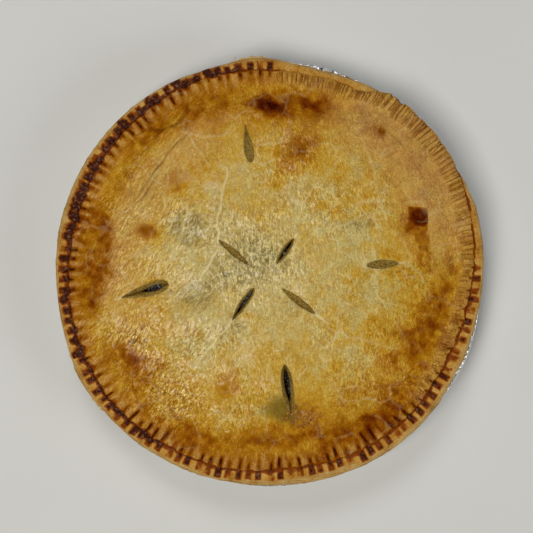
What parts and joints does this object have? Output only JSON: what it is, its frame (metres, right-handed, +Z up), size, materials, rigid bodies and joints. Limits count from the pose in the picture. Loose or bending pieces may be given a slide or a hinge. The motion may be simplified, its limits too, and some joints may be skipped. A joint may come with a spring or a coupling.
{
  "type": "apple pie",
  "caption": "Round double-crust apple pie in a fluted foil tin, with a domed lid, fork-crimped rim and steam slits.",
  "frame": {"origin": "centre of the tin's base, on the surface it stands on", "axes": "+Z up out of the tin, +X to the right and +Y to the top of the view from above"},
  "size_m": [0.2447, 0.245, 0.0528],
  "materials": {
    "foil": "bright pressed foil",
    "rim_pastry": "dry pale pastry",
    "cooked_apple": "wet and dark",
    "lid_pastry": "baked pastry with a thin egg glaze"
  },
  "bodies": {
    "root": {"foil_tin": "foil", "bottom_crust": "rim_pastry", "apple_filling": "cooked_apple", "top_crust": "lid_pastry"}
  },
  "joints": []
}
